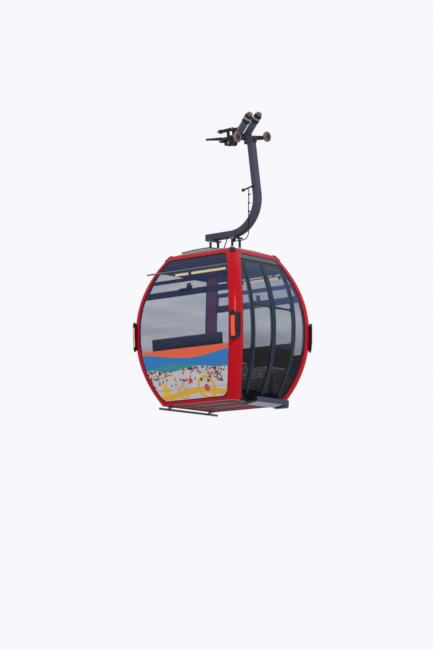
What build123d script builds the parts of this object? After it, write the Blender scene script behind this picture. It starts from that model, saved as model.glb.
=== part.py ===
from build123d import *
import os
from math import cos, radians, sin, sqrt, tan

# A gondola cabin for a single-rope lift, with its hanger and its detachable grip.
# Millimetres. The origin is the centre of the rope where the grip holds it.
# X runs along the line, +Y is the door side, +Z is up.

os.makedirs("parts", exist_ok=True)

# Cabin body, its levels measured up from its flat underside
cabin_height = 2300
cabin_half_length = 905
cabin_half_width = 1025
belt_level = cabin_height / 2 - 84
belt_top = cabin_height / 2
lower_bulge = 297
upper_bulge = 375
lower_radius = (belt_level**2 + lower_bulge**2) / (2 * lower_bulge)
upper_radius = ((cabin_height - belt_top) ** 2 + upper_bulge**2) / (2 * upper_bulge)
corner_radius = 120
wall = 42
roof_edge_radius = 64
roof_crown = 62
hanger_drop = 1810
rope_to_underside = cabin_height + hanger_drop
cabin_offset = -75

# Openings in the red frame
sill_height = 46
opening_top = cabin_height - 80
end_pillar = corner_radius + 8
door_pillar = 166
opening_corner = 95
lower_joint = 210
upper_joint = cabin_height - 180
glass_thick = 8
glass_setback = 10
seal_width = 14
seal_depth = 18
header_level = opening_top - 168

# Vent windows at the two ends
vent_top = header_level - 172
vent_bar = 14
vent_low = vent_top - 180
vent_band = 98
vent_stile = 22
vent_depth = 26
latch_low_y = -110
latch_high_y = 60
latch_plate = 36
latch_handle = 30
latch_height = 92

# Doors
door_half_width = cabin_half_length - 410
door_side_radius = 7600
door_widest = belt_level + 334
door_bottom = 84
door_top = opening_top - 112
door_border = 46
door_gap = 3
transom_level = belt_level + 336
transom_height = 30
leaf_corner = 46
surround_edge = 22

# Floor, ceiling and seats
floor_low = 10
floor_top = 62
ceiling_low = cabin_height - 95
ceiling_thick = 14
lamp_radius = 17
lamp_place = 470
lamp_length = cabin_half_width - 525
lamp_gap = 60
seat_level = 575
seat_depth = 430
seat_front = 245
seat_thick = 22
slat_count = 8
slat_gap = 9
skirt_slats = 3
skirt_pitch = 46
skirt_height = 22
bench_half_width = cabin_half_width - 335
backrest_low = 640
backrest_high = 985
backrest_thick = 24
backrest_inset = 70
leg_size = 40
leg_place = 520
leg_back = 260

# Bumpers and the rails outside
bumper_low = 806
bumper_high = 1272
bumper_proud = 48
bumper_end_reach = 66
bumper_side_reach = 72
bumper_slope = 100
bumper_top_rise = 52
bumper_low_rise = 84
lens_low = 888
lens_high = 1190
lens_start = 5
lens_width = 50
lens_depth = 10
door_sill_overlap = 20
step_reach = cabin_half_width - 125
step_front = 270
step_rear = -480
step_low = -10
step_high = 62
step_back_low = -45
step_tail = 92
step_tail_low = -58
step_tail_round = 40
rail_plane = 351 - cabin_half_width
rail_level = -44
rail_height = 32
rail_thick = 22
rail_half_length = 670
rail_bracket = 463
rail_bracket_width = 40
rail_bracket_depth = 90
end_rail_level = cabin_height - 310
end_rail_reach = cabin_half_length - 71
end_rail_half_length = cabin_half_width - 235
end_rail_radius = 12
end_rail_bracket = 560
corner_cap_proud = 10
corner_cap_half = 46
corner_cap_depth = 75
corner_cap_height = 84
roof_box_x = 170
roof_box_y = -440
roof_box_length = 260
roof_box_width = 540
roof_box_rise = 26

# Hanger, in the grip's level frame
arm_size = 106
arm_corner = 14
arm_plane = 497
arm_lean = 7.6
arm_bend = 500
beam_level = 320 - hanger_drop
beam_end = -375
hub_radius = 62
hub_proud = 12
pin_drop = 75
pin_radius = 24
pin_clearance = 0.08
leg_centre = -20
leg_radius = 19
leg_spread_x = 88
leg_spread_y = 218
pad_thick = 16
pad_half = 40
foot_thick = 12
foot_sink = 60
brace_radius = 8
brace_reach = 42

# Control cable and its knob bracket, on the arm's front face
cable_radius = 7
cable_top_y = 505
cable_top_z = -846
cable_line_y = 497
cable_drop = 127
cable_bend = 112
cable_end_y = leg_centre + leg_spread_y + pad_half
knob_y = 400
knob_z = -850
knob_radius = 24
knob_height = 40
knob_arm_radius = 13

# Grip, in its own frame: the rope runs along X
rope_grade = 10.5
rope_radius = 24
wheel_radius = 80
wheel_width = 48
wheel_reach = 360
wheel_drop = -30
wheel_plane = 525
axle_radius = 15
end_play = 3
carrier_plane = 410
carrier_thick = 34
carrier_height = 62
carrier_tail = 45
carrier_boss = 50
jaw_half_length = 130
jaw_shell = 20
tongue_reach = 450
tongue_tip = 4
jaw_pivot_y = 116
jaw_pivot_z = -58
boss_radius = 54
jaw_pin_radius = 20
jaw_gap = 6
body_low = 2
body_half_width = 50
lug_half_width = 28
fork_inner = 34
fork_outer = 72
lever_thick = 14
lever_knee_y = 225
lever_bar_z = 148
lever_bar_radius = 14
roller_pin_radius = 11
roller_y = -80
roller_z = 142
roller_radius = 34
roller_width = 60
spring_spread = 110
spring_angle = 44
spring_low_y = 335
spring_low_z = 30
spring_length = 281
spring_radius = 56
spring_seat_depth = 70
cap_height = 92
cap_radius = 60
stud_height = 42
stud_radius = 40


def block(x0, x1, y0, y1, z0, z1):
    return Pos((x0 + x1) / 2, (y0 + y1) / 2, (z0 + z1) / 2) * Box(abs(x1 - x0), abs(y1 - y0), abs(z1 - z0))


def rod(start, end, radius):
    # A round bar between two points
    start, end = Vector(*start), Vector(*end)
    return Plane(start, z_dir=end - start) * Cylinder(
        radius, (end - start).length, align=(Align.CENTER, Align.CENTER, Align.MIN))


def face_edge(half, inset, level):
    # How far a bulging face stands from the middle plane at a level: an arc up to the belt,
    # a straight belt and a tighter arc above it
    radius, away = upper_radius - inset, max(level - belt_top, 0)
    if level < belt_level:
        radius, away = lower_radius - inset, belt_level - level
    return half - inset - radius + sqrt(radius**2 - away**2)


def face_outline(half, inset, low, high, corner=0):
    # A bulging outline from a level below the belt to one above it
    def side(sign):
        def arc(start, end):
            levels = (start, (start + end) / 2, end)
            return ThreePointArc(*[(sign * face_edge(half, inset, level), level) for level in levels])
        lower, upper = arc(low, belt_level), arc(belt_top, high)
        return [lower, Line(lower @ 1, upper @ 0), upper]
    right, left = side(1), side(-1)
    ends = [Line(right[0] @ 0, left[0] @ 0), Line(right[2] @ 1, left[2] @ 1)]
    outline = make_face(right + left + ends)
    if not corner:
        return outline
    tips = [v for v in outline.vertices() if v.Y < low + 1 or v.Y > high - 1]
    return fillet(tips, corner)


def opening(plane, half, inset, low, high, corner=0):
    return extrude(plane * face_outline(half, inset, low, high, corner), 2 * cabin_half_width, both=True)


def barrel(inset, low, high):
    # The space inside the four bulging faces, moved in by inset, between two levels
    bottom, top = -floor_top, cabin_height + 2 * roof_crown
    body = opening(Plane.XZ, cabin_half_length, inset, bottom, top) & opening(
        Plane.YZ, cabin_half_width, inset, bottom, top)
    corner = corner_radius - inset
    if corner > 1:
        upright = [e for e in body.edges() if abs((e @ 0).Z - (e @ 1).Z) > 1]
        body = fillet(upright, corner)
    return body & band(low, high)


def band(low, high):
    return block(-far, far, -far, far, low, high)


far = 3000
front_side = block(0, far, -far, far, -far, far)
rear_side = block(-far, 0, -far, far, -far, far)
door_side = block(-far, far, 0, far, -far, far)
back_side = block(-far, far, -far, 0, -far, far)
cabin_place = Pos(0, cabin_offset, -rope_to_underside)
grip_place = Rot(0, rope_grade, 0)
pieces = {}


def keep(name, shape, place=None):
    pieces[name] = place * shape if place else shape


# Red frame: a bottom ring, four corner posts and a top ring
full = barrel(0, 0, cabin_height)
full = fillet(full.faces().sort_by(Axis.Z)[-1].edges(), roof_edge_radius)
cage = full - barrel(wall, -10, cabin_height + 10)
openings = {
    name: opening(plane, half - pillar, 0, sill_height, opening_top, opening_corner) & side
    for name, plane, half, pillar, side in [
        # opening, plane it is drawn on, half size, pillar beside it, side of the cabin
        ("front", Plane.YZ, cabin_half_width, end_pillar, front_side),
        ("rear", Plane.YZ, cabin_half_width, end_pillar, rear_side),
        ("back", Plane.XZ, cabin_half_length, end_pillar, back_side),
        ("door", Plane.XZ, cabin_half_length, door_pillar, door_side),
    ]
}
for cut in openings.values():
    cage -= cut
sill_end = face_edge(cabin_half_length - door_pillar, 0, 0) + door_sill_overlap
door_sill = block(-sill_end, sill_end, cabin_half_width / 2, far, -10, door_bottom)
keep("bottom_frame", (cage & band(-10, lower_joint)) - door_sill, cabin_place)
keep("door_sill", cage & door_sill, cabin_place)
keep("top_frame", cage & band(upper_joint, cabin_height + 10), cabin_place)
keep("corner_posts", cage & band(lower_joint, upper_joint), cabin_place)

# Glazing: a rubber seal in each opening, curved glass in the seal, a dark panel above it,
# and a vent sash between two bars at either end
outside = barrel(glass_setback, 0, cabin_height)
seal_skin = outside - barrel(glass_setback + seal_depth, -10, cabin_height + 10)
glass_skin = outside - barrel(glass_setback + glass_thick, -10, cabin_height + 10)
vent_skin = outside - barrel(glass_setback + vent_depth, -10, cabin_height + 10)
latch_skin = barrel(glass_setback + vent_depth, 0, cabin_height)
latch_skin -= barrel(glass_setback + vent_depth + seal_width, -10, cabin_height + 10)
glazing = [
    # opening, plane it is drawn on, half size, side of the cabin, has a vent
    ("front", Plane.YZ, cabin_half_width, front_side, True),
    ("rear", Plane.YZ, cabin_half_width, rear_side, True),
    ("back", Plane.XZ, cabin_half_length, back_side, False),
]
seals, headers, vents, latches = Part(), Part(), Part(), Part()
for name, plane, half, side, has_vent in glazing:
    inner = opening(plane, half - end_pillar, seal_width, sill_height + seal_width, opening_top - seal_width,
                    opening_corner - seal_width) & side
    seals += (seal_skin & openings[name]) - inner
    headers += glass_skin & inner & band(header_level, cabin_height)
    if not has_vent:
        keep(f"window_{name}", glass_skin & inner & band(0, header_level), cabin_place)
        continue
    light = opening(plane, half - end_pillar, seal_width + vent_stile, sill_height, opening_top) & side
    light &= band(vent_low, vent_top - vent_bar)
    vents += (vent_skin & inner & band(vent_low - vent_band, vent_top)) - light
    panes = (glass_skin & light) + (glass_skin & inner & band(0, vent_low - vent_band))
    panes += glass_skin & inner & band(vent_top, header_level)
    keep(f"window_{name}", panes, cabin_place)
    plate = block(-far, far, latch_low_y, latch_high_y, vent_low - latch_plate, vent_low)
    handle = block(-far, far, latch_high_y - latch_handle, latch_high_y, vent_low - latch_plate,
                   vent_low - latch_plate + latch_height)
    latches += latch_skin & (plate + handle) & side
keep("window_seals", seals, cabin_place)
keep("window_headers", headers, cabin_place)
keep("vent_frames", vents, cabin_place)
keep("vent_latches", latches, cabin_place)


def door_edge(inset, level):
    # Half the doorway's width at a level
    radius = door_side_radius - inset
    return door_half_width - inset - radius + sqrt(radius**2 - (level - door_widest) ** 2)


def door_shape(inset, low, high):
    # The doorway's outline between two levels, cut right through the door side
    levels = (low, (low + high) / 2, high)
    right = ThreePointArc(*[(door_edge(inset, level), level) for level in levels])
    left = ThreePointArc(*[(-door_edge(inset, level), level) for level in levels])
    outline = make_face([right, left, Line(right @ 0, left @ 0), Line(right @ 1, left @ 1)])
    return extrude(Plane.XZ * outline, far, both=True) & door_side


# Door side: a dark surround with fixed side panes, two door leaves and a panel over them
wall_skin = outside - barrel(wall, -10, cabin_height + 10)
doorway = door_shape(0, door_bottom, door_top)
surround_top = door_top + surround_edge
pane_low = door_bottom + surround_edge
side_light = opening(Plane.XZ, cabin_half_length - door_pillar, surround_edge, pane_low,
                     door_top - surround_edge, opening_corner - surround_edge) & door_side
side_light -= door_shape(-surround_edge, 0, cabin_height)
surround = wall_skin & openings["door"] & band(0, surround_top)
keep("door_surround", surround - doorway - side_light, cabin_place)
keep("side_panes", glass_skin & side_light, cabin_place)
keep("door_header", wall_skin & openings["door"] & band(surround_top, cabin_height), cabin_place)
for name, sign in [("front", 1), ("rear", -1)]:
    leaf = wall_skin & doorway & block(sign * door_gap / 2, sign * far, 0, far, 0, far)
    inside_edge = block(sign * (door_gap / 2 + door_border), sign * far, 0, far, 0, far)
    lights = [
        # low level, high level
        (door_bottom + door_border, transom_level),
        (transom_level + transom_height, door_top - door_border),
    ]
    panes = Part()
    for low, high in lights:
        light = door_shape(door_border, low, high) & inside_edge
        light = fillet(light.edges().filter_by(Axis.Y), leaf_corner)
        leaf -= light
        panes += glass_skin & light
    keep(f"door_leaf_{name}", leaf, cabin_place)
    keep(f"door_glass_{name}", panes, cabin_place)

# Roof: a crowned skin inside the top ring, with a low cover under the hanger and a box beside it
crown_half = sqrt(face_edge(cabin_half_length, wall, cabin_height) ** 2
                  + face_edge(cabin_half_width, wall, cabin_height) ** 2)
crown_radius = (crown_half**2 + roof_crown**2) / (2 * roof_crown)
crown_centre = cabin_height + roof_crown - crown_radius
crown = Pos(0, 0, crown_centre) * Sphere(crown_radius)
roof = barrel(wall, ceiling_low + ceiling_thick, cabin_height + 2 * roof_crown) & crown
keep("roof", roof, cabin_place)
roof_box = block(roof_box_x, roof_box_x + roof_box_length, roof_box_y, roof_box_y + roof_box_width,
                 cabin_height, cabin_height + 2 * roof_crown)
roof_box &= Pos(0, 0, crown_centre) * Sphere(crown_radius + roof_box_rise)
roof_box -= roof
keep("roof_box", roof_box, cabin_place)
keep("ceiling", barrel(wall, ceiling_low, ceiling_low + ceiling_thick), cabin_place)
lamps = Part()
for end in (-1, 1):
    for side in (-1, 1):
        start = side * lamp_gap / 2
        lamps += rod((end * lamp_place, start, ceiling_low - lamp_radius),
                     (end * lamp_place, start + side * lamp_length, ceiling_low - lamp_radius), lamp_radius)
keep("ceiling_lamps", lamps, cabin_place)

# Floor pan
keep("floor", barrel(wall, floor_low, floor_top), cabin_place)

# Benches at the two ends: slats on bearers, a slatted skirt in front, legs and a backrest
slat_pitch = seat_depth / slat_count
bearer_low = seat_level - seat_thick - leg_size
skirt_reach = seat_level - skirt_slats * skirt_pitch - skirt_height
seats, legs, backs = Part(), Part(), Part()
for sign in (1, -1):
    for index in range(slat_count):
        x = seat_front + index * slat_pitch
        seats += block(sign * x, sign * (x + slat_pitch - slat_gap), -bench_half_width, bench_half_width,
                       seat_level - seat_thick, seat_level)
    for y in (-leg_place, 0, leg_place):
        seats += block(sign * seat_front, sign * (seat_front + seat_depth), y - leg_size / 2,
                       y + leg_size / 2, bearer_low, seat_level - seat_thick)
        seats += block(sign * (seat_front + skirt_height), sign * (seat_front + leg_size), y - leg_size / 2,
                       y + leg_size / 2, skirt_reach, bearer_low)
    for index in range(1, skirt_slats + 1):
        z = seat_level - index * skirt_pitch
        seats += block(sign * seat_front, sign * (seat_front + skirt_height), -bench_half_width,
                       bench_half_width, z - skirt_height, z)
    for y in (-leg_place, leg_place):
        x = seat_front + leg_back
        legs += block(sign * (x - leg_size), sign * (x + leg_size), y - leg_size / 2, y + leg_size / 2,
                      floor_top, bearer_low)
    back = barrel(backrest_inset, backrest_low, backrest_high) - barrel(
        backrest_inset + backrest_thick, backrest_low - 10, backrest_high + 10)
    backs += back & block(sign * seat_front, sign * far, -bench_half_width, bench_half_width, 0, far)
keep("bench_seats", seats, cabin_place)
keep("bench_legs", legs, cabin_place)
keep("backrests", backs, cabin_place)

# Bumpers: a block round each corner, narrower towards the sides, with a lens in its end
bumper_skin = barrel(-bumper_proud, 0, cabin_height) - full
lens_skin = barrel(-bumper_proud, 0, cabin_height) - barrel(lens_depth - bumper_proud, -10, cabin_height + 10)


def four_corners(shape):
    # A piece on one corner of the cabin, with its mirror images on the other three
    pair = shape + mirror(shape, about=Plane.YZ)
    return pair + mirror(pair, about=Plane.XZ)


end_tip = cabin_half_width - bumper_end_reach
side_tip = cabin_half_length - bumper_side_reach
reach = make_face(Polyline((side_tip, bumper_low + bumper_low_rise), (side_tip + bumper_slope, bumper_low),
                           (far, bumper_low), (far, bumper_high), (side_tip + bumper_slope, bumper_high),
                           (side_tip, bumper_high - bumper_top_rise), close=True))
reach = extrude(Plane.XZ * reach, far, both=True) & block(0, far, end_tip, far, 0, far)
lens = lens_skin & block(0, far, end_tip + lens_start, end_tip + lens_start + lens_width, lens_low, lens_high)
keep("bumpers", four_corners((bumper_skin & reach) - lens), cabin_place)
keep("bumper_lenses", four_corners(lens), cabin_place)

# Grey caps on the roof's four corners
cap_top = cabin_height + corner_cap_proud
cap_skin = barrel(-corner_cap_proud, 0, cap_top)
cap_skin = fillet(cap_skin.faces().sort_by(Axis.Z)[-1].edges(), roof_edge_radius + corner_cap_proud) - full
caps = Part()
for x_sign in (1, -1):
    for y_sign in (1, -1):
        tip_x = x_sign * face_edge(cabin_half_length, 0, cabin_height)
        tip_y = y_sign * face_edge(cabin_half_width, 0, cabin_height)
        reach = Pos(tip_x, tip_y, cap_top) * Rot(0, 0, 45) * Box(
            2 * (corner_cap_depth if x_sign == y_sign else corner_cap_half),
            2 * (corner_cap_half if x_sign == y_sign else corner_cap_depth), 2 * corner_cap_height)
        caps += (cap_skin & reach) - roof
keep("corner_caps", caps, cabin_place)

# Step under the doors, the guide rail on the back and the rail over the front window
sill_y = face_edge(cabin_half_width, wall, 0)
tread = make_face(Polyline((sill_y, step_back_low), (step_reach, step_low), (step_reach, step_high),
                           (sill_y, step_high), close=True))
tail = make_face(Polyline((sill_y, step_tail_low), (step_reach, step_tail_low), (step_reach, step_high),
                          (sill_y, step_high), close=True))
tail = fillet(tail.vertices().sort_by(Axis.X)[-2:].sort_by(Axis.Y)[0], step_tail_round)
step = Pos(step_rear, 0, 0) * extrude(Plane.YZ * tread, step_front - step_rear)
step += Pos(step_rear, 0, 0) * extrude(Plane.YZ * tail, step_tail)
keep("door_step", step - barrel(0, 0, cabin_height), cabin_place)
rail = block(-rail_half_length, rail_half_length, rail_plane - rail_thick, rail_plane,
             rail_level - rail_height / 2, rail_level + rail_height / 2)
for x in (-rail_bracket, rail_bracket):
    low_x, high_x = x - rail_bracket_width / 2, x + rail_bracket_width / 2
    rail += block(low_x, high_x, rail_plane, rail_plane + rail_thick, rail_level - rail_height / 2, 0)
    rail += block(low_x, high_x, rail_plane, rail_plane + rail_bracket_depth, -rail_thick, 0)
keep("guide_rail", rail, cabin_place)
half = end_rail_radius / 2
rail = rod((end_rail_reach, -end_rail_half_length, end_rail_level),
           (end_rail_reach, end_rail_half_length, end_rail_level), end_rail_radius)
for y in (-end_rail_bracket, end_rail_bracket):
    bracket = block(end_rail_reach - half, seat_front, y - half, y + half,
                    end_rail_level - 1.5 * half, end_rail_level + 1.5 * half)
    rail += bracket - barrel(0, 0, cabin_height)
keep("end_rails", rail, cabin_place)

# Hanger: a square tube, down from the pin, round one bend and along over the roof
lean = tan(radians(arm_lean))
pin_y, arm_foot_y = arm_plane + lean * pin_drop, arm_plane - lean * beam_level
arm_top = (0, pin_y, -pin_drop)
arm_path = FilletPolyline(arm_top, (0, arm_foot_y, beam_level), (0, beam_end, beam_level), radius=arm_bend)
section = fillet(Rectangle(arm_size, arm_size).vertices(), arm_corner)
start = Plane(origin=arm_top, x_dir=(1, 0, 0), z_dir=arm_path % 0)
arm = sweep(start * section, arm_path)
hub_back, hub_face = pin_y - arm_size / 2 - hub_proud, pin_y + arm_size / 2 + hub_proud
hub = rod((0, hub_back, -pin_drop), (0, hub_face, -pin_drop), hub_radius)
bore = rod((0, 0, -pin_drop), (0, 2 * pin_y, -pin_drop), pin_radius + pin_clearance)
arm -= block(-arm_size, arm_size, 0, 2 * pin_y, -pin_drop, 0)
arm = arm + hub - bore
keep("hanger_arm", arm)

# Suspension: four struts and a brace from plates under the beam down to the roof's cover
roof_top = roof_crown - hanger_drop
beam_low = beam_level - arm_size / 2
strut_top, strut_foot = beam_low - pad_thick, roof_top + foot_thick
plates, struts = Part(), Part()
for y_sign in (-1, 1):
    y = leg_centre + y_sign * leg_spread_y
    plates += block(-leg_spread_x - pad_half, leg_spread_x + pad_half, y - pad_half, y + pad_half,
                    strut_top, beam_low)
    for x in (-leg_spread_x, leg_spread_x):
        struts += rod((x, y, strut_foot), (x, y, strut_top), leg_radius)
brace_low, brace_high = (0, leg_centre - brace_reach, strut_foot), (0, leg_centre + brace_reach, beam_low)
brace_line = Vector(*brace_high) - Vector(*brace_low)
brace = rod(Vector(*brace_low) - brace_line, Vector(*brace_high) + brace_line, brace_radius)
struts += brace & band(strut_foot, beam_low)
keep("suspension_plates", plates)
keep("suspension_struts", struts)
cover = block(-leg_spread_x - pad_half, leg_spread_x + pad_half, leg_centre - leg_spread_y - pad_half,
              leg_centre + leg_spread_y + pad_half, roof_top - foot_sink, strut_foot)
keep("roof_cover", cover - cabin_place * roof)

# Control cable: from the knob bracket down the arm's front face and in under the beam
cable_x = arm_size / 2 + cable_radius
cable_low = beam_level - cable_drop
cable_path = FilletPolyline(
    (cable_x, cable_top_y, cable_top_z), (cable_x, cable_line_y, cable_low),
    (cable_x, cable_end_y, cable_low), radius=cable_bend)
cable = sweep(Plane(origin=cable_path @ 0, z_dir=cable_path % 0) * Circle(cable_radius), cable_path)
knob_x = arm_size / 2 + knob_arm_radius
knob_arm_end = (knob_x, arm_plane + arm_size, knob_z + knob_height)
knob_arm = rod((knob_x, knob_y, knob_z), knob_arm_end, knob_arm_radius)
knob_low, knob_high = knob_z - knob_height / 2, knob_z + knob_height / 2
knob = rod((knob_x, knob_y, knob_low), (knob_x, knob_y, knob_high), knob_radius)
clip = block(cable_x - cable_radius, cable_x + cable_radius, cable_end_y - pad_half, cable_end_y,
             cable_low - cable_radius, strut_top)
keep("cable_holders", (knob_arm + knob) - arm + clip)
keep("control_cable", cable - knob_arm - clip)

# Grip body: a casting from the rope out to the hanger pin, with a lug for the jaw's pin
rope = rod((-2 * tongue_reach, 0, 0), (2 * tongue_reach, 0, 0), rope_radius)
shell_radius = rope_radius + jaw_shell
above_rope = block(-far, far, -far, far, 0, far)
body = rod((-jaw_half_length, 0, 0), (jaw_half_length, 0, 0), shell_radius) & above_rope
carrier_back = carrier_plane - carrier_thick / 2
body += block(-body_half_width, body_half_width, rope_radius / 2, carrier_back, body_low, shell_radius)
body += block(-lug_half_width, lug_half_width, jaw_pivot_y - boss_radius + 14, jaw_pivot_y + boss_radius - 14,
              jaw_pivot_z, body_low)
body += rod((-lug_half_width, jaw_pivot_y, jaw_pivot_z), (lug_half_width, jaw_pivot_y, jaw_pivot_z),
            boss_radius - 14)
body -= rope
body -= rod((-far, jaw_pivot_y, jaw_pivot_z), (far, jaw_pivot_y, jaw_pivot_z), jaw_pin_radius)
keep("grip_body", body, grip_place)
pin_reach = fork_outer + 12
jaw_pin = rod((-pin_reach, jaw_pivot_y, jaw_pivot_z), (pin_reach, jaw_pivot_y, jaw_pivot_z), jaw_pin_radius)
keep("jaw_pin", jaw_pin, grip_place)

tongues = Part()
for sign in (-1, 1):
    base = Plane((sign * jaw_half_length, 0, 0), z_dir=(sign, 0, 0))
    cone = base * Cone(shell_radius, rope_radius + tongue_tip, tongue_reach - jaw_half_length,
                       align=(Align.CENTER, Align.CENTER, Align.MIN))
    tongues += (cone & above_rope) - rope
keep("rope_tongues", tongues, grip_place)

# Beam that carries the two running wheels and the level pin of the hanger
carrier_front = carrier_back + carrier_thick
beam = block(-wheel_reach - carrier_tail, wheel_reach + carrier_tail, carrier_back, carrier_front,
             wheel_drop - carrier_height / 2, wheel_drop + carrier_height / 2)
beam += block(-carrier_boss, carrier_boss, carrier_back, carrier_front, -pin_drop - carrier_boss,
              shell_radius)
wheel_face = wheel_plane + wheel_width / 2
for sign in (-1, 1):
    x = sign * wheel_reach
    beam += rod((x, carrier_plane, wheel_drop), (x, wheel_face + end_play + 8, wheel_drop), axle_radius)
    beam += rod((x, wheel_face + end_play, wheel_drop), (x, wheel_face + end_play + 8, wheel_drop), 24)
pin_end = hub_face + end_play + 10
pin = rod((0, carrier_plane, -pin_drop), (0, pin_end, -pin_drop), pin_radius)
pin += rod((0, hub_face + end_play, -pin_drop), (0, pin_end, -pin_drop), pin_radius + 16)
keep("wheel_carrier", grip_place * beam + pin)
for name, sign in [("front", 1), ("rear", -1)]:
    x = sign * wheel_reach
    wheel = rod((x, wheel_plane - wheel_width / 2, wheel_drop), (x, wheel_face, wheel_drop), wheel_radius)
    wheel -= rod((x, 0, wheel_drop), (x, 2 * wheel_plane, wheel_drop), axle_radius + pin_clearance)
    keep(f"running_wheel_{name}", wheel, grip_place)

# Spring units: two tubes that lean out over the hanger, on a seat across the body
slope = radians(spring_angle)
along = Vector(0, cos(slope), sin(slope))
tubes, caps = Part(), Part()
for sign in (-1, 1):
    low = Vector(sign * spring_spread, spring_low_y, spring_low_z)
    top = low + along * spring_length
    tubes += rod(low, top, spring_radius)
    caps += rod(top, top + along * cap_height, cap_radius)
    caps += rod(top + along * cap_height, top + along * (cap_height + stud_height), stud_radius)
seat_end = spring_spread + spring_radius
seat_back = spring_low_y - spring_seat_depth
seat = block(-seat_end, seat_end, seat_back, carrier_back - jaw_gap, body_low, shell_radius)
seat -= block(-body_half_width, body_half_width, 0, carrier_plane, -far, far)
keep("spring_tubes", tubes - seat, grip_place)
keep("spring_caps", caps, grip_place)
keep("spring_seat", seat, grip_place)

# Moving jaw under the rope, on a fork round the body's lug
hook = rod((-jaw_half_length + 10, 0, 0), (jaw_half_length - 10, 0, 0), shell_radius)
hook &= block(-far, far, -far, far, -far, -jaw_gap)
jaw = hook
for sign in (-1, 1):
    jaw += block(sign * fork_inner, sign * fork_outer, 20, jaw_pivot_y, jaw_pivot_z - 34, -jaw_gap - 10)
    jaw += rod((sign * fork_inner, jaw_pivot_y, jaw_pivot_z), (sign * fork_outer, jaw_pivot_y, jaw_pivot_z),
               boss_radius)
jaw &= block(-far, far, -far, far, -far, body_low - jaw_gap)
bore_radius = jaw_pin_radius + pin_clearance
jaw -= rope + rod((-far, jaw_pivot_y, jaw_pivot_z), (far, jaw_pivot_y, jaw_pivot_z), bore_radius)
keep("moving_jaw", jaw, grip_place)

# Lever over the rope: two cheeks joined by a cross bar, with the roller at its nose
cheek_outline = [
    # y, z of each corner, from the hub round to the roller
    (jaw_pivot_y + 26, jaw_pivot_z + 20), (jaw_pivot_y + 26, 110), (lever_knee_y, 128), (lever_knee_y, 168),
    (roller_y, roller_z + 16), (roller_y, roller_z - 16), (jaw_pivot_y - 26, 126),
    (jaw_pivot_y - 26, jaw_pivot_z + 20),
]
cheek = Plane.YZ * make_face(Polyline(*cheek_outline, close=True))
lever = Part()
for sign in (-1, 1):
    lever += Pos(sign * (fork_outer - lever_thick / 2), 0, 0) * extrude(cheek, lever_thick / 2, both=True)
cheek_in = fork_outer - lever_thick
bar_y = lever_knee_y - lever_bar_radius - 4
lever += rod((-cheek_in, bar_y, lever_bar_z), (cheek_in, bar_y, lever_bar_z), lever_bar_radius)
lever += rod((-cheek_in, roller_y, roller_z), (cheek_in, roller_y, roller_z), roller_pin_radius)
lever -= jaw
keep("release_lever", lever, grip_place)
roller = rod((-roller_width / 2, roller_y, roller_z), (roller_width / 2, roller_y, roller_z), roller_radius)
roller -= rod((-far, roller_y, roller_z), (far, roller_y, roller_z), roller_pin_radius + pin_clearance)
keep("lever_roller", roller, grip_place)

for name, shape in pieces.items():
    export_step(shape, f"parts/{name}.step")
    print(name, len(shape.solids()), round(shape.volume / 1e6, 2))
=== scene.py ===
import bpy, bmesh, math
from mathutils import Matrix, Vector


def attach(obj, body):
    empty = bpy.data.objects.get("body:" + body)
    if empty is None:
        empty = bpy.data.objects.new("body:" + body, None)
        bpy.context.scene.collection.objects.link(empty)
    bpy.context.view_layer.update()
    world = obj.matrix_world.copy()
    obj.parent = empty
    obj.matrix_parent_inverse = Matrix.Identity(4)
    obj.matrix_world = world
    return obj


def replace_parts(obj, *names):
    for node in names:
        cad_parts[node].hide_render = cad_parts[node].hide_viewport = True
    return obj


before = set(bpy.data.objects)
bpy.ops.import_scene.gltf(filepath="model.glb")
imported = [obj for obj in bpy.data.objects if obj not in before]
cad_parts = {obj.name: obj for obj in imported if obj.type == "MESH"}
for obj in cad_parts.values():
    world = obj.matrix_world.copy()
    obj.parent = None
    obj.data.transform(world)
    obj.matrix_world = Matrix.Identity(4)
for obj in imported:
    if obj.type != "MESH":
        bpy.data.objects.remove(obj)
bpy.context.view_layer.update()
scene = bpy.context.scene
print("stage: frame loaded")

# camera at the photograph's place, just above the floor and looking up
shot = {"place": (25.83, 22.08, -7.85), "heading": 40.776, "pitch": 8.329, "roll": -0.1, "lens": 125.08,
        "sensor": 36, "clipEnd": 300}
heading, pitch, roll = (math.radians(shot[key]) for key in ("heading", "pitch", "roll"))
ahead = Vector((-math.cos(heading) * math.cos(pitch), -math.sin(heading) * math.cos(pitch), math.sin(pitch)))
camera = bpy.data.objects.new("camera", bpy.data.cameras.new("camera"))
scene.collection.objects.link(camera)
camera.data.sensor_fit = "VERTICAL"
camera.data.sensor_height = shot["sensor"]
camera.data.lens = shot["lens"]
camera.data.clip_end = shot["clipEnd"]
aim = ahead.to_track_quat("-Z", "Y").to_matrix().to_4x4() @ Matrix.Rotation(roll, 4, "Z")
camera.matrix_world = Matrix.Translation(shot["place"]) @ aim
scene.camera = camera
scene.view_settings.view_transform = "Standard"

# the cabin's bulging skin as the CAD has it, and where the cabin and the tilted grip stand
cabin = {"halfLength": 0.905, "halfWidth": 1.025, "belt": 1.066, "beltTop": 1.15, "lower": 2.0616, "upper": 1.9508,
         "corner": 0.12, "y": -0.075, "underside": -4.11, "gripTilt": 10.5}
toCabin = Matrix.Translation((0, cabin["y"], cabin["underside"]))
toGrip = Matrix.Rotation(math.radians(cabin["gripTilt"]), 4, "Y")


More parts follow.
